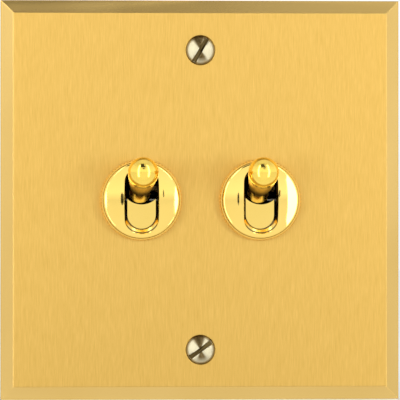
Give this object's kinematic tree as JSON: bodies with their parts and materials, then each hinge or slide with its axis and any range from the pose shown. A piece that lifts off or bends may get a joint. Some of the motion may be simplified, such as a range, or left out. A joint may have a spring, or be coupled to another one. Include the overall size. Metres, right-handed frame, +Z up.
{
  "type": "double toggle push switch",
  "caption": "Square brushed brass wall plate with sprung, drop-shaped levers in domed bezels; pressing a lever down closes its switch in the housing behind.",
  "frame": {"origin": "centre of the face plate's back, between the two fixing screws", "axes": "+X to the right seen from the front, +Y into the wall along the fixing screws, +Z up"},
  "size_m": [0.08, 0.0428, 0.08],
  "materials": {
    "brushed_brass": "satin, brushed upright, with polished bevels",
    "polished_brass": "mirror polished and lacquered",
    "pale_brass": "bright, paler than the plate",
    "contact_brass": "turned or stamped, plain",
    "steel": "zinc plated",
    "blackened_metal": "blackened, satin",
    "black_moulding": "moulded thermoset, satin",
    "ivory_moulding": "moulded, satin"
  },
  "bodies": {
    "switch_body": {"face_plate": "brushed_brass", "fixing_screws": "pale_brass", "earth_terminal": "contact_brass", "earth_screw": "steel", "bezel_nut_left": "polished_brass", "bezel_cap_left": "polished_brass", "gate_plate_left": "polished_brass", "threaded_bush_left": "blackened_metal", "front_body_left": "black_moulding", "pivot_pin_left": "steel", "rear_base_left": "black_moulding", "terminal_in_left": "contact_brass", "terminal_out_left": "contact_brass", "clamp_screws_left": "steel", "closing_screws_left": "steel", "return_spring_left": "steel", "bezel_nut_right": "polished_brass", "bezel_cap_right": "polished_brass", "gate_plate_right": "polished_brass", "threaded_bush_right": "blackened_metal", "front_body_right": "black_moulding", "pivot_pin_right": "steel", "rear_base_right": "black_moulding", "terminal_in_right": "contact_brass", "terminal_out_right": "contact_brass", "clamp_screws_right": "steel", "closing_screws_right": "steel", "return_spring_right": "steel"},
    "lever_left": {"lever_drop_left": "polished_brass", "lever_stem_left": "polished_brass"},
    "slider_left": {"slider_left": "ivory_moulding", "contact_bridge_left": "contact_brass"},
    "lever_right": {"lever_drop_right": "polished_brass", "lever_stem_right": "polished_brass"},
    "slider_right": {"slider_right": "ivory_moulding", "contact_bridge_right": "contact_brass"}
  },
  "joints": [
    {"name": "lever_left_press", "type": "hinge", "parent": "switch_body", "child": "lever_left", "pos_m": [-0.01193, 0.007, 0], "axis": [1, 0, 0], "range_deg": [0, 7], "stiffness_Nm_per_rad": 0.02, "springref_deg": -14.32},
    {"name": "slider_left_lift", "type": "slide", "parent": "switch_body", "child": "slider_left", "axis": [0, 0, 1], "range_m": [0, 0.00155], "deforming": ["return_spring_left"]},
    {"name": "lever_right_press", "type": "hinge", "parent": "switch_body", "child": "lever_right", "pos_m": [0.01193, 0.007, 0], "axis": [1, 0, 0], "range_deg": [0, 7], "stiffness_Nm_per_rad": 0.02, "springref_deg": -14.32},
    {"name": "slider_right_lift", "type": "slide", "parent": "switch_body", "child": "slider_right", "axis": [0, 0, 1], "range_m": [0, 0.00155], "deforming": ["return_spring_right"]}
  ],
  "couplings": [
    {"joint": "lever_left_press", "follows": "slider_left_lift", "rad_per_m": 78.667},
    {"joint": "lever_right_press", "follows": "slider_right_lift", "rad_per_m": 78.667}
  ]
}
